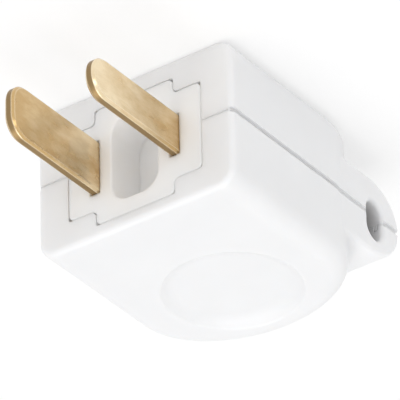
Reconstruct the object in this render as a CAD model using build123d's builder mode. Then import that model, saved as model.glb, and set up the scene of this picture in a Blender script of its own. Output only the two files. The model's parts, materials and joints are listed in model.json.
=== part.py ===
import math
import os

from build123d import *

# Two-blade replacement plug for flat lamp cord, in millimetres.
# The mating face lies on Y = 0 and the blades point to -Y. The flat cord enters on edge
# through the -X side near the rear. The blade carriage slides out along -Y to free the
# cord slot, and sliding it home drives the contact teeth through the cord's insulation.

# Distance within which two points count as one
touch = 0.001

# Blades
blade_pitch = 12.7
blade_thickness = 1.52
blade_length = 18.2
neutral_width = 7.95
line_width = 6.1
blade_tip_round = 2.9
blade_tip_flat = 0.15
blade_bevel = 0.35
ear_start = 5.6
ear_length = 2.2
ear_overhang = 1.0
tail_width = 5.0
tail_beyond_lug = 2.6
blade_clearance = 0.06

# Blade holder, the insert that shows on the mating face
holder_side_wall = 3.44
holder_ear_wall = 1.575
holder_step = 2.25
holder_step_inset = 0.15
holder_step_depth = 9.0
holder_depth = 12.5
holder_corner_round = 0.9
holder_step_round = 0.7
holder_edge_round = 0.2
pocket_side_wall = 1.93
pocket_end_wall = 2.35
pocket_round = 2.6
pocket_flat = 0.3
pocket_depth = 6.0
pocket_draft = 1.5
core_wall = 0.95
core_front_wall = 2.2

# Tail carrier behind the holder
plate_thickness = 2.0
arm_wall = 1.3
arm_rim = 1.4
arm_end_cover = 0.4
window_side_gap = 0.1
window_height_gap = 0.15
peg_diameter = 1.8
peg_length = 1.6
peg_inset = 2.0
peg_end_gap = 0.2
peg_clearance = 0.03
lug_length = 2.5
lug_height = 3.0
lug_reach = 1.4
lug_rear_gap = 0.5

# Contacts and rivets
contact_thickness = 0.7
contact_height = 3.6
contact_overlap = 7.0
conductor_pitch = 2.6
leg_offset = 0.2
leg_length = 3.6
tooth_gap = 0.45
tooth_point = 1.8
tooth_depth = 2.75
rivet_diameter = 1.8
rivet_head_diameter = 3.0
rivet_head_height = 0.6
rivet_setback = 1.0
rivet_clearance = 0.02
head_clearance = 0.15

# Carriage travel
travel = 4.5
slide_clearance = 0.1
stop_gap = 0.3

# Cord slot
cord_slot_width = 3.5
cord_slot_height = 5.8
cord_slot_end = 9.0
cord_slot_wall = 1.85
cord_slot_cover = 2.9
mouth_round = 0.8
gate_overrun = 0.5

# Housing
side_margin = 4.95
cover_margin = 2.3
parting_z = -0.5
wall = 2.1
frame_depth = 6.0
rib_thickness = 1.3
plate_rib_gap = 0.9
rear_wall = 3.65
crown_rear_step = 3.7
crown_depth = 11.7
rim_round = 2.6
face_round = 0.8
port_round = 0.4
tail_end_depth = 6.7
neck_round = 1.2
tail_side_round = 0.7
tail_step = 0.2

# Thumb dishes, alike on both sides
dish_radius = 9.9
dish_floor_radius = 7.4
dish_depth = 0.8
dish_rise = 1.3
dish_tilt = 2.6
dish_rim_round = 0.4
dish_wall = 1.5

# Parting line
reveal_gap = 0.8
reveal_depth = 0.5
tongue_inset = 1.3
tongue_width = 0.5
tongue_height = 0.8
tongue_clearance = 0.05
minimum_round = 0.3
dowel_diameter = 1.6
dowel_height = 1.4
dowel_end_gap = 0.2
dowel_clearance = 0.04
dowel_post_diameter = 3.2
dowel_post_sink = 0.3

# Screw and its post
post_arm_gap = 0.94
post_gap = 3.0
post_side_gap = 0.3
post_base_wall = 0.7
post_base_thickness = 1.6
screw_core_diameter = 2.5
screw_hole_diameter = 3.2
screw_head_diameter = 5.2
screw_head_height = 1.7
screw_head_clearance = 0.25
screw_sink = 0.5
screw_roof = 2.6
screw_end_gap = 0.5
screw_edge = 0.5
recess_width = 0.7
recess_length = 3.0
recess_depth = 1.0
recess_draft = 8

# Sizes across the plug
blade_x = blade_pitch / 2
blade_inner = blade_x - blade_thickness / 2
blade_outer = blade_x + blade_thickness / 2
holder_width = 2 * (blade_outer + holder_side_wall)
holder_centre_width = blade_pitch - 2 * holder_step_inset
holder_side_height = neutral_width + 2 * (ear_overhang + holder_ear_wall)
holder_height = holder_side_height + 2 * holder_step
pocket_width = 2 * (blade_inner - pocket_side_wall)
pocket_height = holder_height - 2 * pocket_end_wall
pocket_corner = min(pocket_round, pocket_width / 2 - pocket_flat)
body_width = holder_width + 2 * side_margin
body_height = holder_height + 2 * cover_margin
tail_height = cord_slot_height + 2 * cord_slot_cover
chamber_half_width = body_width / 2 - wall
chamber_half_height = body_height / 2 - dish_depth - dish_wall
tail_half_chamber = tail_height / 2 - wall
contact_inner = blade_inner - contact_thickness
head_recess = rivet_head_height + head_clearance
arm_inner = contact_inner - head_recess
post_diameter = 2 * (arm_inner - post_arm_gap)
post_base_diameter = screw_head_diameter + 2 * (screw_head_clearance + post_base_wall)
arm_outer = blade_outer + head_recess + arm_wall
arm_height = tail_width + 2 * arm_rim
lug_end_x = holder_width / 2 + lug_reach
leg_inner = post_diameter / 2 + post_side_gap
tooth_width = (blade_inner - leg_inner - tooth_gap) / 2
leg_z = -conductor_pitch / 2
head_seat = body_height / 2 - dish_depth - screw_sink - screw_head_height
pilot_top = body_height / 2 - dish_depth - screw_roof
post_base_top = head_seat - post_base_thickness

# Stations along Y, from the mating face to the rear
plate_end = holder_depth + plate_thickness
post_centre = plate_end + post_gap + post_diameter / 2
step_stop = holder_step_depth + stop_gap
lug_stop = holder_depth + plate_rib_gap
lug_start = lug_stop + rib_thickness + stop_gap + travel
lug_end = lug_start + lug_length
rear_guide = lug_end + lug_rear_gap
rivet_y = lug_start + rivet_setback
blade_end = lug_end + tail_beyond_lug
arm_end = blade_end + arm_end_cover
contact_start = blade_end - contact_overlap
leg_start = blade_end + leg_offset
leg_end = leg_start + leg_length
chamber_rear = leg_end + arm_end_cover
cord_slot_front = chamber_rear + cord_slot_wall
cord_slot_centre = cord_slot_front + cord_slot_width / 2
tooth_tip = cord_slot_front + tooth_depth
tail_rear = cord_slot_front + cord_slot_width + rear_wall
crown_rear = tail_rear - crown_rear_step
straight_depth = crown_rear - crown_depth

os.makedirs("parts", exist_ok=True)


def across(y):
    """Plane across the plug at depth y, local x along X and local y along Z, facing -Y."""
    return Plane.XZ.offset(-y)


def level(height):
    """Plane square to Z, at a height above the parting line between the shells."""
    return Plane.XY.offset(parting_z + height)


def holder_side_face(grow):
    """Low, wide part of the carriage section, grown by a clearance."""
    with BuildSketch() as face:
        RectangleRounded(
            holder_width + 2 * grow,
            holder_side_height + 2 * grow,
            holder_corner_round + grow,
        )
    return face.sketch


def holder_face(grow, corner_round):
    """Stepped carriage section that shows on the mating face, grown by a clearance."""
    step_x = holder_centre_width / 2 + grow
    step_z = holder_side_height / 2 + grow
    with BuildSketch() as face:
        Rectangle(holder_width + 2 * grow, 2 * step_z)
        Rectangle(2 * step_x, holder_height + 2 * grow)
        steps, corners = [], []
        for vertex in face.vertices():
            at_step = abs(vertex.X) < step_x + touch and abs(vertex.Y) < step_z + touch
            (steps if at_step else corners).append(vertex)
        fillet(corners, corner_round)
        steps = [v for v in face.vertices() if is_near(v, step_x, step_z)]
        fillet(steps, holder_step_round)
    return face.sketch


def is_near(vertex, x, y):
    """True where a vertex lies on one of the four points (+-x, +-y)."""
    return abs(abs(vertex.X) - x) < touch and abs(abs(vertex.Y) - y) < touch


def crown_plan(inset, start):
    """Plan of the full-height body: straight sides, then a half ellipse at the rear."""
    half = body_width / 2 - inset
    with BuildSketch() as plan:
        with BuildLine():
            Polyline((half, straight_depth), (half, start), (-half, start), (-half, straight_depth))
            EllipticalCenterArc((0, straight_depth), half, crown_depth - inset, 0, arc_size=180)
        make_face()
    return plan.sketch


def parting_plan(inset, start):
    """Plan of the housing at the parting line, cut off square at the given depth."""
    half = body_width / 2 - inset
    rear = tail_rear - inset
    corner = max(tail_side_round - inset, minimum_round)
    with BuildSketch() as plan:
        with Locations((0, (start + rear) / 2)):
            Rectangle(2 * half, rear - start)
        rear_corners = plan.vertices().sort_by(Axis.Y)[-2:]
        fillet(rear_corners, corner)
    return plan.sketch


def arm_window():
    """Section that the blade tail, its contact and the rivet heads pass through, on +X."""
    with BuildSketch() as window:
        with Locations((blade_x, 0)):
            Rectangle(blade_thickness + 2 * blade_clearance, tail_width + 2 * blade_clearance)
        inner = leg_inner - window_side_gap
        outer = blade_outer + head_recess
        with Locations(((inner + outer) / 2, 0)):
            Rectangle(outer - inner, contact_height + 2 * window_height_gap)
    return window.sketch


def cord_slot():
    """Round-ended section of the cord slot, seen along X."""
    with BuildSketch() as slot:
        with Locations((cord_slot_centre, 0)):
            SlotCenterToCenter(cord_slot_height - cord_slot_width, cord_slot_width, rotation=90)
    return slot.sketch


def tooth_gate(side):
    """Section of a shell's opening for the contact teeth: side is 1 above the parting line."""
    far_edge = side * tooth_gate_height
    with BuildSketch() as gate:
        with Locations((-side * tooth_gate_x, (parting_z + far_edge) / 2)):
            Rectangle(teeth_span + 2 * stop_gap, abs(far_edge - parting_z))
    return gate.sketch


def on_dish_rim(edge):
    """True for the edges where a dish meets the flat top or bottom."""
    spot = edge.center()
    on_flat = abs(abs(spot.Z - parting_z) - body_height / 2) < touch
    return on_flat and math.hypot(spot.X, spot.Y - post_centre) < dish_radius


def on_neck(edge):
    """True for the edges where the crown's rear wall stands on the tail."""
    spot = edge.center()
    along = (spot.Y - straight_depth) / crown_depth
    on_wall = abs(math.hypot(2 * spot.X / body_width, along) - 1) < touch
    on_tail = cord_slot_height / 2 + touch < abs(spot.Z) < tail_height / 2 - parting_z + touch
    on_flat = abs(spot.X) < tail_half_width - tail_side_round
    return on_wall and on_tail and on_flat


def on_slot_mouth(edge):
    """True for the edges where the cord slot opens on the side."""
    spot = edge.center()
    on_side = abs(spot.X + tail_half_width) < touch
    return on_side and math.hypot(spot.Y - cord_slot_centre, spot.Z) < cord_slot_height / 2 + touch


def both_sides(sketch):
    """The same sketch on +X and mirrored to -X."""
    return sketch + sketch.mirror(Plane.YZ)


# Shallow thumb dish for the top, tilted so that it is deepest at the rear
top = parting_z + body_height / 2
dish_plane = Plane((0, post_centre, top - dish_depth), (1, 0, 0), (0, -1, 0)).rotated((-dish_tilt, 0, 0))
with BuildPart() as dish:
    with BuildSketch(dish_plane):
        with BuildLine():
            floor = Line((0, 0), (dish_floor_radius, 0))
            cove = TangentArc(floor @ 1, (dish_radius, dish_rise), tangent=(1, 0))
            Polyline(cove @ 1, (dish_radius, 2 * dish_rise), (0, 2 * dish_rise), (0, 0))
        make_face()
    revolve(axis=Axis(dish_plane.origin, dish_plane.y_dir))

# Full-height body with the rounded rear and a dish on both sides
crown_face = crown_plan(0, 0)
with BuildPart() as crown:
    with BuildSketch(level(-body_height / 2)):
        add(crown_face)
    extrude(amount=body_height)
    rims = crown.faces().filter_by(Axis.Z).edges().filter_by(lambda e: e.center().Y > touch)
    fillet(rims, rim_round)
    fillet(crown.faces().sort_by(Axis.Y)[0].edges(), face_round)
    add(dish.part, mode=Mode.SUBTRACT)
    add(dish.part.mirror(level(0)), mode=Mode.SUBTRACT)
    fillet(crown.edges().filter_by(on_dish_rim), dish_rim_round)

# Lower tail with a barrel end, which holds the cord slot and is a touch narrower than the crown
tail_axis_y = tail_rear - tail_end_depth
tail_half_width = body_width / 2 - tail_step
cord_slot_face = cord_slot()
with BuildPart() as tail:
    with BuildSketch(Plane.YZ):
        with Locations(((frame_depth + tail_axis_y) / 2, parting_z)):
            Rectangle(tail_axis_y - frame_depth, tail_height)
        with Locations((tail_axis_y, parting_z)):
            Ellipse(tail_end_depth, tail_height / 2)
    extrude(amount=tail_half_width, both=True)
    tail_ends = tail.faces().filter_by(Axis.X).edges()
    fillet(tail_ends.filter_by(lambda e: e.center().Y > frame_depth + touch), tail_side_round)
    with BuildSketch(Plane.YZ.offset(-body_width)):
        add(cord_slot_face)
    extrude(amount=body_width + cord_slot_end, mode=Mode.SUBTRACT)
    fillet(tail.edges().filter_by(on_slot_mouth), mouth_round)

# Chamber behind the front frame, with the ribs and posts left standing in it
chamber_face = crown_plan(wall, frame_depth)
side_way = holder_side_face(slide_clearance)
with BuildSketch() as arm_way_sketch:
    Rectangle(2 * (arm_outer + stop_gap), arm_height + 2 * stop_gap)
arm_way = arm_way_sketch.sketch
section_size = 2 * body_width
dowel_x = chamber_half_width - dowel_post_diameter / 2 + dowel_post_sink
dowel_y = chamber_rear - dowel_post_diameter / 2 - dowel_end_gap
with BuildPart() as chamber:
    with BuildSketch(level(-chamber_half_height)):
        add(chamber_face)
        with Locations((0, (frame_depth + chamber_rear) / 2)):
            Rectangle(body_width, chamber_rear - frame_depth, mode=Mode.INTERSECT)
    extrude(amount=2 * chamber_half_height)
    with BuildSketch(level(-tail_half_chamber)):
        with Locations((0, (frame_depth + chamber_rear) / 2)):
            Rectangle(2 * chamber_half_width, chamber_rear - frame_depth)
    extrude(amount=2 * tail_half_chamber)
    for station, way in ((step_stop, side_way), (lug_stop, side_way), (rear_guide, arm_way)):
        with BuildSketch(across(station)):
            Rectangle(section_size, section_size)
            add(way, mode=Mode.SUBTRACT)
        extrude(amount=-rib_thickness, mode=Mode.SUBTRACT)
    with BuildSketch(level(-body_height / 2)):
        with Locations((0, post_centre)):
            Circle(post_diameter / 2)
        with Locations((dowel_x, dowel_y), (-dowel_x, dowel_y)):
            Circle(dowel_post_diameter / 2)
    extrude(amount=body_height, mode=Mode.SUBTRACT)
    with BuildSketch(level(-body_height / 2), level(post_base_top)):
        with Locations((0, post_centre)):
            Circle(post_base_diameter / 2)
    extrude(amount=body_height / 2 - post_base_top, mode=Mode.SUBTRACT)

# Reveal groove round the sides and the rear at the parting line
reveal_inner = parting_plan(reveal_depth, -face_round)
with BuildPart() as reveal:
    with BuildSketch(level(-reveal_gap / 2)):
        with Locations((0, tail_rear / 2)):
            Rectangle(2 * body_width, 2 * tail_rear)
        add(reveal_inner, mode=Mode.SUBTRACT)
    extrude(amount=reveal_gap)

# Housing before it is parted
port_face = holder_face(slide_clearance, port_round)
with BuildPart() as housing:
    add(crown.part)
    add(tail.part)
    fillet(housing.edges().filter_by(on_neck), neck_round)
    add(chamber.part, mode=Mode.SUBTRACT)
    with BuildSketch(Plane.XZ):
        add(port_face)
    extrude(amount=-step_stop, mode=Mode.SUBTRACT)
    with BuildSketch(Plane.YZ.offset(-body_width)):
        add(cord_slot_face)
    extrude(amount=body_width + cord_slot_end, mode=Mode.SUBTRACT)
    add(reveal.part, mode=Mode.SUBTRACT)

# Openings in the slot's front wall for the contact teeth, one pair in each shell
teeth_span = 2 * tooth_width + tooth_gap
tooth_gate_x = leg_inner + teeth_span / 2
tooth_gate_height = conductor_pitch / 2 + contact_thickness
upper_gate = tooth_gate(1)
lower_gate = tooth_gate(-1)

# Tongue on the lower shell and its groove in the upper one
tongue_outer = parting_plan(tongue_inset, frame_depth)
tongue_inner = parting_plan(tongue_inset + tongue_width, frame_depth - wall)
groove_outer = parting_plan(tongue_inset - tongue_clearance, frame_depth - tongue_clearance)
groove_inner = parting_plan(tongue_inset + tongue_width + tongue_clearance, frame_depth - wall)
front_dowel_x = (holder_width / 2 + slide_clearance + body_width / 2) / 2
dowel_places = [
    (front_dowel_x, frame_depth / 2),
    (-front_dowel_x, frame_depth / 2),
    (dowel_x, dowel_y),
    (-dowel_x, dowel_y),
]

with BuildPart() as upper_shell:
    add(housing.part)
    split(bisect_by=level(0), keep=Keep.TOP)
    with BuildSketch(level(0)):
        with Locations(*dowel_places):
            Circle(dowel_diameter / 2 + dowel_clearance)
    extrude(amount=dowel_height + dowel_end_gap, mode=Mode.SUBTRACT)
    with BuildSketch(level(0)):
        with Locations((0, post_centre)):
            Circle(screw_core_diameter / 2)
    extrude(amount=pilot_top, mode=Mode.SUBTRACT)
    with BuildSketch(level(0)):
        add(groove_outer)
        add(groove_inner, mode=Mode.SUBTRACT)
    extrude(amount=tongue_height + tongue_clearance, mode=Mode.SUBTRACT)
    with BuildSketch(across(chamber_rear - gate_overrun)):
        add(upper_gate)
    extrude(amount=-(cord_slot_wall + 2 * gate_overrun), mode=Mode.SUBTRACT)
upper_shell.part.label = "upper_shell"
export_step(upper_shell.part, "parts/upper_shell.step")

with BuildPart() as lower_shell:
    add(housing.part)
    split(bisect_by=level(0), keep=Keep.BOTTOM)
    with BuildSketch(level(0)):
        add(tongue_outer)
        add(tongue_inner, mode=Mode.SUBTRACT)
    extrude(amount=tongue_height)
    with BuildSketch(level(0)):
        with Locations(*dowel_places):
            Circle(dowel_diameter / 2)
    extrude(amount=dowel_height)
    with BuildSketch(Plane.YZ.offset(-body_width)):
        add(cord_slot_face)
    extrude(amount=body_width + cord_slot_end, mode=Mode.SUBTRACT)
    with BuildSketch(level(-body_height)):
        with Locations((0, post_centre)):
            Circle(screw_hole_diameter / 2)
    extrude(amount=body_height, mode=Mode.SUBTRACT)
    with BuildSketch(level(-body_height)):
        with Locations((0, post_centre)):
            Circle(screw_head_diameter / 2 + screw_head_clearance)
    extrude(amount=body_height - head_seat, mode=Mode.SUBTRACT)
    with BuildSketch(across(chamber_rear - gate_overrun)):
        add(lower_gate)
    extrude(amount=-(cord_slot_wall + 2 * gate_overrun), mode=Mode.SUBTRACT)
lower_shell.part.label = "lower_shell"
export_step(lower_shell.part, "parts/lower_shell.step")

# Closing screw, driven from the lower dish into the upper shell's post
with BuildPart() as shell_screw:
    with BuildSketch(level(-head_seat)):
        with Locations((0, post_centre)):
            Circle(screw_head_diameter / 2)
    extrude(amount=-screw_head_height)
    fillet(shell_screw.faces().sort_by(Axis.Z)[0].edges(), screw_edge)
    with BuildSketch(level(-head_seat)):
        with Locations((0, post_centre)):
            Circle(screw_core_diameter / 2)
    extrude(amount=head_seat + pilot_top - screw_end_gap)
    chamfer(shell_screw.faces().sort_by(Axis.Z)[-1].edges(), screw_edge)
    with BuildSketch(level(-head_seat - screw_head_height)):
        with Locations((0, post_centre)):
            Rectangle(recess_length, recess_width)
            Rectangle(recess_width, recess_length)
    extrude(amount=recess_depth, taper=recess_draft, mode=Mode.SUBTRACT)
shell_screw.part.label = "shell_screw"
export_step(shell_screw.part, "parts/shell_screw.step")

# Blade holder with its centre pocket
insert_face = holder_face(0, holder_corner_round)
insert_side_face = holder_side_face(0)
core_x = blade_outer + holder_side_wall / 2
core_width = holder_side_wall - 2 * core_wall
peg_pitch_x = pocket_width - 2 * peg_inset
peg_pitch_z = pocket_height - 2 * peg_inset
with BuildPart() as blade_holder:
    with BuildSketch(Plane.XZ):
        add(insert_face)
    extrude(amount=-holder_step_depth)
    with BuildSketch(Plane.XZ):
        add(insert_side_face)
    extrude(amount=-holder_depth)
    fillet(blade_holder.faces().sort_by(Axis.Y)[0].edges(), holder_edge_round)
    with BuildSketch(Plane.XZ):
        RectangleRounded(pocket_width, pocket_height, pocket_corner)
    extrude(amount=-pocket_depth, taper=pocket_draft, mode=Mode.SUBTRACT)
    pocket_rim = blade_holder.faces().sort_by(Axis.Y)[0].inner_wires().edges()
    fillet(pocket_rim, holder_edge_round)
    for x, width in ((blade_x, neutral_width), (-blade_x, line_width)):
        with BuildSketch(Plane.XZ):
            with Locations((x, 0)):
                Rectangle(blade_thickness + 2 * blade_clearance, width + 2 * blade_clearance)
        extrude(amount=-holder_depth, mode=Mode.SUBTRACT)
        with BuildSketch(across(ear_start)):
            with Locations((x, 0)):
                ear_width = width + 2 * ear_overhang
                Rectangle(blade_thickness + 2 * blade_clearance, ear_width + 2 * blade_clearance)
        extrude(amount=-(holder_depth - ear_start), mode=Mode.SUBTRACT)
    with BuildSketch(across(core_front_wall)):
        with Locations((core_x, 0), (-core_x, 0)):
            Rectangle(core_width, holder_side_height - 2 * core_wall)
    extrude(amount=-(holder_depth - core_front_wall), mode=Mode.SUBTRACT)
    with BuildSketch(across(holder_depth - peg_length - peg_end_gap)):
        with GridLocations(peg_pitch_x, peg_pitch_z, 2, 2):
            Circle(peg_diameter / 2 + peg_clearance)
    extrude(amount=-(peg_length + peg_end_gap), mode=Mode.SUBTRACT)
blade_holder.part.label = "blade_holder"
export_step(blade_holder.part, "parts/blade_holder.step")

# Tail carrier: a plate that locks the blades in the holder, two arms and the stop lugs
windows = both_sides(arm_window())
arm_x = (arm_inner + arm_outer) / 2
lug_x = (arm_outer + lug_end_x) / 2
with BuildPart() as tail_carrier:
    with BuildSketch(across(holder_depth)):
        add(insert_side_face)
    extrude(amount=-plate_thickness)
    with BuildSketch(across(holder_depth)):
        with Locations((arm_x, 0), (-arm_x, 0)):
            Rectangle(arm_outer - arm_inner, arm_height)
    extrude(amount=-(arm_end - holder_depth))
    with BuildSketch(across(lug_start)):
        with Locations((lug_x, 0), (-lug_x, 0)):
            Rectangle(lug_end_x - arm_outer, lug_height)
    extrude(amount=-lug_length)
    with BuildSketch(across(holder_depth)):
        with GridLocations(peg_pitch_x, peg_pitch_z, 2, 2):
            Circle(peg_diameter / 2)
    extrude(amount=peg_length)
    with BuildSketch(across(holder_depth)):
        add(windows)
    extrude(amount=-(arm_end - holder_depth), mode=Mode.SUBTRACT)
tail_carrier.part.label = "tail_carrier"
export_step(tail_carrier.part, "parts/tail_carrier.step")

# Blades: prong, locking ears and tail, cut from flat brass
for name, x, width in (("neutral_blade", blade_x, neutral_width), ("line_blade", -blade_x, line_width)):
    with BuildPart() as blade:
        with BuildSketch(Plane.YZ.offset(x - blade_thickness / 2)):
            with Locations(((ear_start - blade_length) / 2, 0)):
                Rectangle(ear_start + blade_length, width)
            tip_round = min(blade_tip_round, width / 2 - blade_tip_flat)
            fillet([v for v in vertices() if v.X < 0], tip_round)
            with Locations((ear_start + ear_length / 2, 0)):
                Rectangle(ear_length, width + 2 * ear_overhang)
            with Locations(((ear_start + blade_end) / 2, 0)):
                Rectangle(blade_end - ear_start, tail_width)
        extrude(amount=blade_thickness)
        prong_edges = blade.faces().filter_by(Axis.X).edges()
        chamfer(prong_edges.filter_by(lambda e: e.center().Y < ear_start - touch), blade_bevel)
        with BuildSketch(Plane.YZ.offset(x - blade_thickness)):
            with Locations((rivet_y, 0)):
                Circle(rivet_diameter / 2 + rivet_clearance)
        extrude(amount=2 * blade_thickness, mode=Mode.SUBTRACT)
    blade.part.label = name
    export_step(blade.part, f"parts/{name}.step")

# Piercing contact: a strip on the blade tail, bent inward to two teeth
tooth_places = [leg_inner + tooth_width / 2, leg_inner + 1.5 * tooth_width + tooth_gap]
leg_bottom = leg_z - contact_thickness / 2
neck_height = contact_height / 2
with BuildPart() as neutral_contact:
    with BuildSketch(Plane.YZ.offset(contact_inner)):
        with Locations(((contact_start + leg_start) / 2, 0)):
            Rectangle(leg_start - contact_start, contact_height)
        with Locations(((leg_start + leg_end) / 2, leg_bottom + neck_height / 2)):
            Rectangle(leg_end - leg_start, neck_height)
        with Locations((rivet_y, 0)):
            Circle(rivet_diameter / 2 + rivet_clearance, mode=Mode.SUBTRACT)
    extrude(amount=contact_thickness)
    with BuildSketch(Plane.XY.offset(leg_bottom)):
        with Locations(((leg_inner + contact_inner) / 2, (leg_start + leg_end) / 2)):
            Rectangle(contact_inner - leg_inner, leg_end - leg_start)
        for tooth_x in tooth_places:
            left = tooth_x - tooth_width / 2
            right = tooth_x + tooth_width / 2
            shoulder = tooth_tip - tooth_point
            with BuildLine():
                Polyline((left, leg_end), (left, shoulder), (tooth_x, tooth_tip), (right, shoulder))
                Polyline((right, shoulder), (right, leg_end), (left, leg_end))
            make_face()
    extrude(amount=contact_thickness)
neutral_contact.part.label = "neutral_contact"
export_step(neutral_contact.part, "parts/neutral_contact.step")

with BuildPart() as line_contact:
    add(neutral_contact.part.rotate(Axis.Y, 180))
line_contact.part.label = "line_contact"
export_step(line_contact.part, "parts/line_contact.step")

# Rivets through each tail and contact, with a domed head at both ends
rivet_inner = contact_inner - rivet_head_height
rivet_outer = blade_outer + rivet_head_height
head_edge = rivet_y + rivet_head_diameter / 2
shank_edge = rivet_y + rivet_diameter / 2
with BuildPart() as neutral_rivet:
    with BuildSketch(Plane.XY):
        with BuildLine():
            TangentArc((rivet_inner, rivet_y), (contact_inner, head_edge), tangent=(0, 1))
            Polyline((contact_inner, head_edge), (contact_inner, shank_edge), (blade_outer, shank_edge))
            Line((blade_outer, shank_edge), (blade_outer, head_edge))
            TangentArc((rivet_outer, rivet_y), (blade_outer, head_edge), tangent=(0, 1))
            Line((rivet_outer, rivet_y), (rivet_inner, rivet_y))
        make_face()
    revolve(axis=Axis((0, rivet_y, 0), (1, 0, 0)))
neutral_rivet.part.label = "neutral_rivet"
export_step(neutral_rivet.part, "parts/neutral_rivet.step")

with BuildPart() as line_rivet:
    add(neutral_rivet.part.rotate(Axis.Y, 180))
line_rivet.part.label = "line_rivet"
export_step(line_rivet.part, "parts/line_rivet.step")
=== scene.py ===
import json
import math

import bpy
from mathutils import Matrix, Vector


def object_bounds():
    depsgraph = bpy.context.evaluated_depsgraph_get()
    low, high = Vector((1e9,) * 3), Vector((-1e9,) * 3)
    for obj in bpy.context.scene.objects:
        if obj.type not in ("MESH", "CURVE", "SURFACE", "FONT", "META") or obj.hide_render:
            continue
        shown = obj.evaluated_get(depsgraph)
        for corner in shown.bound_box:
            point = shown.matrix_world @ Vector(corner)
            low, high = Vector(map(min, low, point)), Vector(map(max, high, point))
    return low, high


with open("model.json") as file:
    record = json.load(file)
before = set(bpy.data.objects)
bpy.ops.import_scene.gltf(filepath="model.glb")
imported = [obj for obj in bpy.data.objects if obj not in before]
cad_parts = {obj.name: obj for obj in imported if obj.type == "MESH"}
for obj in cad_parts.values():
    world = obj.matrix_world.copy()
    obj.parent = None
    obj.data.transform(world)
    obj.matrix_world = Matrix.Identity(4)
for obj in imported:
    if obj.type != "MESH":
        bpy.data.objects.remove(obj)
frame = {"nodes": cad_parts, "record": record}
cad_low, cad_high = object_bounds()

MM = 0.001
mounts = {mount["name"]: Vector(mount["pos_m"]) for mount in frame["record"]["mounts"]}

# Camera: the photograph looks at the plug from beneath, so here the view is rolled over
VIEW_AZIMUTH = -35.296
VIEW_ELEVATION = 32.935
VIEW_ROLL = 178.619
VIEW_DISTANCE = 0.833
VIEW_WIDTH = 0.051266  # what the picture spans at the target
VIEW_TARGET = Vector((-4.756, 7.623, 5.362)) * MM
SENSOR_WIDTH = 36.0
CLIP_START = 0.05
CLIP_END = 20.0

# Lamps: the direction to each, how wide it looks in degrees, and its strength
LAMPS = {
    "key": {"toward": (0.05, -0.20, 0.96), "spread": 60, "strength": 1.34},
    "fill": {"toward": (-0.74, -0.62, 0.12), "spread": 35, "strength": 0.34},
}
SKY_STRENGTH = 0.64

# Floor: a little below the plug's base, and partly replaced by plain white where it is seen
FLOOR_SIZE = 6.0
FLOOR_DROP = 0.03 * MM
FLOOR_LIGHT = (0.97, 0.97, 0.97)
FLOOR_SHADE = (0.96, 0.96, 0.96)
FLOOR_ROUGHNESS = 0.9
FLOOR_WHITE = 0.55
WHITE = (1, 1, 1, 1)

# Cord slot: its painted shade starts a little inside the mouth and is full further in
SLOT_Y = mounts["cord_entry"].y
SLOT_HALF_WIDTH = 1.75 * MM
SLOT_HALF_HEIGHT = 2.9 * MM
SLOT_MOUTH_X = cad_high[0] - 0.7 * MM
SLOT_DEEP_X = cad_high[0] - 3.5 * MM
SLOT_FADE_Y = 0.6 * MM
SLOT_FADE_Z = 0.3 * MM
SLOT_PAINTED_SHADE = (0.46, 0.45, 0.44)

# Noise patterns: how many to a millimetre, how fine they get, and where most values lie
FLOW_SCALE = 0.12
SATIN_SCALE = 0.35
SINK_SCALE = 0.25
TEXTURE_SCALE = 14.0
GRAIN_SCALE = 3.0
TARNISH_SCALE = 0.3
FIBRE_SCALE = 0.05
SMOOTH = {"detail": 1.0, "rough": 0.5}
FINE = {"detail": 2.0, "rough": 0.5}
DRIFTING = {"detail": 3.0, "rough": 0.5}
CLOUDY = {"detail": 4.0, "rough": 0.6}
NOISE_RANGE = (0.3, 0.7)

# How a pattern is squeezed along X, Y and Z: even, or drawn out along the strip
EVEN = (1.0, 1.0, 1.0)
STRIP_GRAIN = (3.0, 0.12, 3.0)
BLADE_GRAIN = (3.0, 0.1, 3.0)
BLADE_PATCHES = (1.0, 0.45, 1.0)

# Bumps: strength, and depth in millimetres
SINK_BUMP = (0.15, 0.04)
TEXTURE_BUMP = (0.12, 0.006)
METAL_BUMP = (0.25, 0.006)
BLADE_GRAIN_BUMP = (0.15, 0.005)
BLADE_WAVE_BUMP = (0.5, 0.12)

# Edges: the cosine between the real and the rounded normal where an edge starts and is full
EDGE_COSINES = (0.995, 0.90)
EDGE_SAMPLES = 12

# Gaps: the openness at which one starts and is full, and the reach in millimetres
GAP_OPENNESS = (0.45, 0.05)
GAP_REACH = 0.8
GAP_SAMPLES = 8

# Moulded plastics: rounding and haze are in millimetres, and rough is a range of roughness. Their
# paler edge colour is painted light
PLASTIC_IOR = 1.5
HAZE_WEIGHT = 0.5
HAZE_REACH = (1.0, 0.95, 0.9)
EDGE_POLISH = 0.06
# In narrow gaps each plastic takes a painted tone: painted light on the white pieces, lifting
# their real shade, and painted shade on the nylon
PLASTICS = {
    "white_shell": {
        "light": (0.868, 0.870, 0.878),
        "shade": (0.848, 0.850, 0.858),
        "edge_colour": (0.97, 0.97, 0.97),
        "painted_gap_tone": (0.97, 0.97, 0.97),
        "rough": (0.30, 0.42),
        "rounding": 0.16,
        "haze": 1.3,
    },
    "white_insert": {
        "light": (0.96, 0.96, 0.962),
        "shade": (0.945, 0.943, 0.942),
        "edge_colour": (0.99, 0.99, 0.99),
        "painted_gap_tone": (0.97, 0.97, 0.97),
        "rough": (0.36, 0.48),
        "rounding": 0.45,
        "haze": 2.2,
    },
    "natural_nylon": {
        "light": (0.66, 0.63, 0.53),
        "shade": (0.60, 0.57, 0.47),
        "edge_colour": (0.70, 0.67, 0.58),
        "painted_gap_tone": (0.45, 0.42, 0.35),
        "rough": (0.45, 0.60),
        "rounding": 0.12,
        "haze": 0.9,
    },
}

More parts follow.
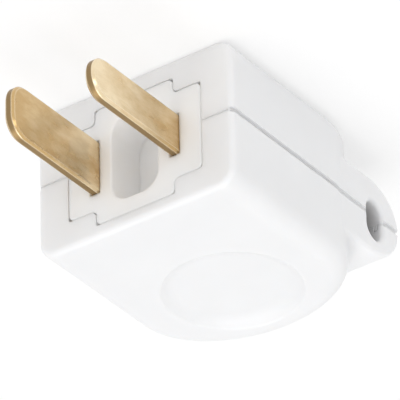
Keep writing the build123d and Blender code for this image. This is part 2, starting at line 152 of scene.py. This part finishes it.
# Metals other than the blades, with the rounding in millimetres
METAL_ROUNDING = 0.12
METAL_GRAIN_SHARE = 0.3
METAL_TARNISH = (0.5, 0.85)
METALS = {
    "contact_bronze": {
        "bright": (0.66, 0.38, 0.18),
        "deep": (0.50, 0.27, 0.12),
        "edge_colour": (0.74, 0.48, 0.26),
        "rough": (0.25, 0.36),
        "stretch": STRIP_GRAIN,
    },
    "rivet_brass": {
        "bright": (0.76, 0.53, 0.26),
        "deep": (0.58, 0.37, 0.16),
        "edge_colour": (0.84, 0.64, 0.38),
        "rough": (0.25, 0.35),
        "stretch": EVEN,
    },
    "screw_steel": {
        "bright": (0.62, 0.62, 0.60),
        "deep": (0.45, 0.46, 0.45),
        "edge_colour": (0.72, 0.72, 0.70),
        "rough": (0.25, 0.40),
        "stretch": EVEN,
    },
}

# Blades: the wide one is on the +X side. The shares say how much each thing adds to the tarnish;
# the wide blade's share and the end share add painted shade there, not tarnish
BRASS_BRIGHT = (0.90, 0.75, 0.51)
BRASS_DEEP = (0.63, 0.43, 0.20)
BRASS_SHEARED = (0.31, 0.21, 0.10)
BRASS_WORN = (0.90, 0.78, 0.57)
BLADE_TIP_Y = cad_low[1]
BLADE_ROOT_Y = 0.0
BLADE_SIDE_X = 1.0 * MM  # both blades lie outside this
BLADE_ROUNDING = 0.32
BLADE_ROUGH = (0.16, 0.32)
BLADE_GRAIN_SHARE = 0.15
WIDE_BLADE_PAINTED_SHADE = 0.10
PAINTED_SHADE_END_SHARE = 0.30
BLADE_TARNISH = (0.50, 0.95)
SHEARED_COSINES = (0.6, 0.3)
SHEARED_DULLING = 0.15


class Nodes:
    """Short names for building the node tree of a material or of the world."""

    def __init__(self, owner, shader="Principled BSDF"):
        owner.use_nodes = True
        self.tree = owner.node_tree
        self.shader = self.tree.nodes[shader]

    def put(self, socket, value):
        """Link a node's output into a socket, or set a number or colour on it."""
        if isinstance(value, bpy.types.NodeSocket):
            self.tree.links.new(value, socket)
        else:
            socket.default_value = value

    def add(self, kind, **inputs):
        """A new node with some of its inputs filled, an underscore standing for a space."""
        node = self.tree.nodes.new(kind)
        for name, value in inputs.items():
            self.put(node.inputs[name.replace("_", " ")], value)
        return node

    def feed(self, name, value):
        """Fill an input of the shader."""
        self.put(self.shader.inputs[name], value)

    def calc(self, operation, *terms):
        """The result of an operation such as ADD or ABSOLUTE on numbers or nodes' outputs."""
        node = self.tree.nodes.new("ShaderNodeMath")
        node.operation = operation
        for socket, term in zip(node.inputs, terms):
            self.put(socket, term)
        return node.outputs[0]

    def plus(self, base, value, share):
        """The base plus a share of the value."""
        return self.calc("MULTIPLY_ADD", value, share, base)

    def span(self, value, start, end, low=0.0, high=1.0):
        """The value moved from the range start to end into the range low to high."""
        given = {"Value": value, "From_Min": start, "From_Max": end, "To_Min": low, "To_Max": high}
        return self.add("ShaderNodeMapRange", **given).outputs["Result"]

    def mix(self, factor, first, second):
        """A colour between two, each a colour or a node's output."""
        node = self.tree.nodes.new("ShaderNodeMix")
        node.data_type = "RGBA"
        self.put(node.inputs["Factor"], factor)
        sockets = [socket for socket in node.inputs if socket.type == "RGBA"]
        for socket, color in zip(sockets, (first, second)):
            self.put(socket, color if isinstance(color, bpy.types.NodeSocket) else (*color, 1))
        return next(output for output in node.outputs if output.type == "RGBA")

    def bump(self, height, size, normal):
        """The normal tipped by a height, whose size is its strength and its depth."""
        strength, depth = size
        given = {"Height": height, "Strength": strength, "Distance": depth * MM, "Normal": normal}
        return self.add("ShaderNodeBump", **given).outputs["Normal"]

    def axes(self, kind):
        """X, Y and Z of the object's own coordinates, or of its normal."""
        coords = self.add("ShaderNodeTexCoord").outputs[kind]
        return self.add("ShaderNodeSeparateXYZ", Vector=coords).outputs

    def place(self, stretch=EVEN):
        """Object coordinates in millimetres, squeezed along each axis by its stretch."""
        coords = self.add("ShaderNodeTexCoord").outputs["Object"]
        scale = [factor / MM for factor in stretch]
        return self.add("ShaderNodeMapping", Vector=coords, Scale=scale).outputs["Vector"]

    def noise(self, where, scale, detail, rough):
        """A noise pattern, 0 to 1."""
        given = {"Vector": where, "Scale": scale, "Detail": detail, "Roughness": rough}
        return self.add("ShaderNodeTexNoise", **given).outputs["Fac"]

    def spread(self, noise, low=0.0, high=1.0):
        """A noise whose usual values are spread from low to high."""
        return self.span(noise, *NOISE_RANGE, low, high)

    def edges(self, radius):
        """1 along the edges of the piece, 0 away from them, and the normal rounded over them."""
        bevel = self.add("ShaderNodeBevel", Radius=radius * MM)
        bevel.samples = EDGE_SAMPLES
        rounded = bevel.outputs["Normal"]
        alike = self.tree.nodes.new("ShaderNodeVectorMath")
        alike.operation = "DOT_PRODUCT"
        real = self.add("ShaderNodeNewGeometry").outputs["Normal"]
        for socket, normal in zip(alike.inputs, (rounded, real)):
            self.put(socket, normal)
        return self.span(alike.outputs["Value"], *EDGE_COSINES), rounded

    def gaps(self):
        """1 in gaps much narrower than their reach, 0 on open faces and in open corners."""
        node = self.add("ShaderNodeAmbientOcclusion", Distance=GAP_REACH * MM)
        node.samples = GAP_SAMPLES
        return self.span(node.outputs["AO"], *GAP_OPENNESS)

    def inside_cord_slot(self):
        """1 on the walls deep in the cord slot, 0 at its mouth and on the rest of the piece."""
        place = self.axes("Object")
        across = self.calc("ABSOLUTE", place["X"])
        along = self.calc("ABSOLUTE", self.calc("SUBTRACT", place["Y"], SLOT_Y))
        up = self.calc("ABSOLUTE", place["Z"])
        deep = self.span(across, SLOT_MOUTH_X, SLOT_DEEP_X)
        beside = self.span(along, SLOT_HALF_WIDTH + SLOT_FADE_Y, SLOT_HALF_WIDTH)
        level = self.span(up, SLOT_HALF_HEIGHT + SLOT_FADE_Z, SLOT_HALF_HEIGHT)
        return self.calc("MULTIPLY", deep, self.calc("MULTIPLY", level, beside))

    def seen(self):
        """1 for what the camera sees, also in metal or through glass, and 0 for light."""
        path = self.add("ShaderNodeLightPath").outputs
        direct = self.calc("MAXIMUM", path["Is Camera Ray"], path["Is Glossy Ray"])
        return self.calc("MAXIMUM", direct, path["Is Transmission Ray"])


def new_material(name):
    material = bpy.data.materials.new(name)
    return material, Nodes(material)


def moulded_plastic(name, light, shade, edge_colour, painted_gap_tone, rough, rounding, haze):
    """Flow tint, satin patches, sink marks, fine texture, edges painted paler, a painted tone in
    gaps, painted shade in the cord slot.
    """
    material, m = new_material(name)
    where = m.place()
    edge, rounded = m.edges(rounding)
    flow = m.spread(m.noise(where, FLOW_SCALE, **DRIFTING))
    # Painted light: the edges are made paler, which lifts the shade along the seams and brightens
    # the rims
    edges_painted_paler = m.mix(edge, m.mix(flow, shade, light), edge_colour)
    # Painted shade: the walls deep in the cord slot are darkened, standing in for the shade inside
    # it
    with_slot_shade = m.mix(m.inside_cord_slot(), edges_painted_paler, SLOT_PAINTED_SHADE)
    # Painted light and shade in narrow gaps: lighter on the white pieces, darker on the nylon
    m.feed("Base Color", m.mix(m.gaps(), with_slot_shade, painted_gap_tone))
    satin = m.spread(m.noise(where, SATIN_SCALE, **CLOUDY), *rough)
    m.feed("Roughness", m.plus(satin, edge, -EDGE_POLISH))
    sinks = m.bump(m.noise(where, SINK_SCALE, **SMOOTH), SINK_BUMP, rounded)
    m.feed("Normal", m.bump(m.noise(where, TEXTURE_SCALE, **FINE), TEXTURE_BUMP, sinks))
    m.feed("IOR", PLASTIC_IOR)
    m.feed("Subsurface Weight", HAZE_WEIGHT)
    m.feed("Subsurface Scale", haze * MM)
    m.feed("Subsurface Radius", HAZE_REACH)
    return material


def grained_metal(name, bright, deep, edge_colour, rough, stretch):
    """Grain, tarnish in patches, and edges rubbed bright."""
    material, m = new_material(name)
    grain = m.noise(m.place(stretch), GRAIN_SCALE, **CLOUDY)
    patches = m.noise(m.place(), TARNISH_SCALE, **CLOUDY)
    tarnish = m.span(m.plus(patches, grain, METAL_GRAIN_SHARE), *METAL_TARNISH)
    edge, rounded = m.edges(METAL_ROUNDING)
    m.feed("Metallic", 1.0)
    m.feed("Base Color", m.mix(edge, m.mix(tarnish, bright, deep), edge_colour))
    m.feed("Roughness", m.spread(patches, *rough))
    m.feed("Normal", m.bump(grain, METAL_BUMP, rounded))
    return material


def blade_brass(name):
    """Strip cut to shape: grain, tarnish in patches, dull sheared sides and bright rubbed edges.

    The wide blade is darker, most of all at its tip, and the narrow one is darkest at its root:
    painted shade that stands in for darker reflections.
    """
    material, m = new_material(name)
    grain = m.noise(m.place(BLADE_GRAIN), GRAIN_SCALE, **CLOUDY)
    patches = m.noise(m.place(BLADE_PATCHES), TARNISH_SCALE, **CLOUDY)
    place = m.axes("Object")
    wide = m.span(place["X"], -BLADE_SIDE_X, BLADE_SIDE_X)
    root = m.span(place["Y"], BLADE_TIP_Y, BLADE_ROOT_Y)
    # 1 at the wide blade's tip and at the narrow blade's root, where shade is painted, 0 at their
    # other ends
    painted_shade_end = m.plus(m.calc("ADD", wide, root), m.calc("MULTIPLY", wide, root), -2.0)
    grained = m.plus(patches, grain, BLADE_GRAIN_SHARE)
    # Painted shade: the wide blade is darkened all over, and each blade more at its shaded end
    with_wide_blade_shade = m.plus(grained, wide, WIDE_BLADE_PAINTED_SHADE)
    tarnish = m.span(m.plus(with_wide_blade_shade, painted_shade_end, PAINTED_SHADE_END_SHARE), *BLADE_TARNISH)
    sheared = m.span(m.calc("ABSOLUTE", m.axes("Normal")["X"]), *SHEARED_COSINES)
    edge, rounded = m.edges(BLADE_ROUNDING)
    m.feed("Metallic", 1.0)
    cut = m.mix(sheared, m.mix(tarnish, BRASS_BRIGHT, BRASS_DEEP), BRASS_SHEARED)
    m.feed("Base Color", m.mix(edge, cut, BRASS_WORN))
    m.feed("Roughness", m.plus(m.spread(patches, *BLADE_ROUGH), sheared, SHEARED_DULLING))
    m.feed("Normal", m.bump(grain, BLADE_GRAIN_BUMP, m.bump(patches, BLADE_WAVE_BUMP, rounded)))
    return material


def make_materials():
    """One material for each material slot in the record, under the slot's name."""
    made = {"blade_brass": blade_brass("blade_brass")}
    for name, look in PLASTICS.items():
        made[name] = moulded_plastic(name, **look)
    for name, look in METALS.items():
        made[name] = grained_metal(name, **look)
    return made


def finish_nodes(materials):
    """Every CAD node takes the material of its own slot."""
    slots = {row["node"]: row["material_slot"] for row in frame["record"]["subparts"]}
    for name, node in frame["nodes"].items():
        node.data.materials.clear()
        node.data.materials.append(materials[slots[name]])


def view_axes(azimuth, elevation, roll):
    """Right, up and back directions of a camera at the given angles."""
    a, e, r = (math.radians(angle) for angle in (azimuth, elevation, roll))
    back = Vector((math.sin(a) * math.cos(e), -math.cos(a) * math.cos(e), math.sin(e)))
    level_right = Vector((0, 0, 1)).cross(back).normalized()
    level_up = back.cross(level_right)
    right = level_right * math.cos(r) + level_up * math.sin(r)
    up = level_up * math.cos(r) - level_right * math.sin(r)
    return right, up, back


def make_camera():
    data = bpy.data.cameras.new("camera")
    data.sensor_width = SENSOR_WIDTH
    data.lens = SENSOR_WIDTH * VIEW_DISTANCE / VIEW_WIDTH
    data.clip_start = CLIP_START
    data.clip_end = CLIP_END
    camera = bpy.data.objects.new("camera", data)
    bpy.context.scene.collection.objects.link(camera)
    right, up, back = view_axes(VIEW_AZIMUTH, VIEW_ELEVATION, VIEW_ROLL)
    place = Matrix((right, up, back)).transposed().to_4x4()
    place.translation = VIEW_TARGET + back * VIEW_DISTANCE
    camera.matrix_world = place
    bpy.context.scene.camera = camera


def make_lamp(name, toward, spread, strength):
    """A broad, distant lamp: toward is the direction to it, and spread how wide it looks."""
    data = bpy.data.lights.new(name, "SUN")
    data.angle = math.radians(spread)
    data.energy = strength
    lamp = bpy.data.objects.new(name, data)
    lamp.rotation_mode = "QUATERNION"
    lamp.rotation_quaternion = (-Vector(toward)).to_track_quat("-Z", "Y")
    bpy.context.scene.collection.objects.link(lamp)


def make_sky():
    """An even sky, which is plain white where it is seen."""
    sky = bpy.data.worlds.new("studio")
    m = Nodes(sky, "Background")
    m.feed("Color", WHITE)
    m.feed("Strength", m.span(m.seen(), 0.0, 1.0, SKY_STRENGTH, 1.0))
    bpy.context.scene.world = sky


def make_lights():
    for name, lamp in LAMPS.items():
        make_lamp(name, **lamp)
    make_sky()
    bpy.context.scene.view_settings.view_transform = "Standard"


def floor_paper():
    """Faintly mottled white paper, mixed with plain white where it is seen."""
    material, m = new_material("floor_paper")
    fibre = m.spread(m.noise(m.place(), FIBRE_SCALE, **DRIFTING))
    m.feed("Base Color", m.mix(fibre, FLOOR_SHADE, FLOOR_LIGHT))
    m.feed("Roughness", FLOOR_ROUGHNESS)
    m.feed("Specular IOR Level", 0.0)
    share = m.calc("MULTIPLY", m.seen(), FLOOR_WHITE)
    white = m.add("ShaderNodeEmission", Color=WHITE, Strength=1.0).outputs["Emission"]
    whiter = m.tree.nodes.new("ShaderNodeMixShader")
    for socket, part in zip(whiter.inputs, (share, m.shader.outputs["BSDF"], white)):
        m.put(socket, part)
    m.put(m.tree.nodes["Material Output"].inputs["Surface"], whiter.outputs["Shader"])
    return material


def make_floor():
    """A plain white floor under the plug, which keeps the plug's shadow."""
    half = FLOOR_SIZE / 2
    z = cad_low[2] - FLOOR_DROP
    corners = [(-half, -half, z), (half, -half, z), (half, half, z), (-half, half, z)]
    mesh = bpy.data.meshes.new("floor")
    mesh.from_pydata(corners, [], [(0, 1, 2, 3)])
    mesh.materials.append(floor_paper())
    floor = bpy.data.objects.new("floor", mesh)
    bpy.context.scene.collection.objects.link(floor)


make_camera()
make_lights()
make_floor()
finish_nodes(make_materials())
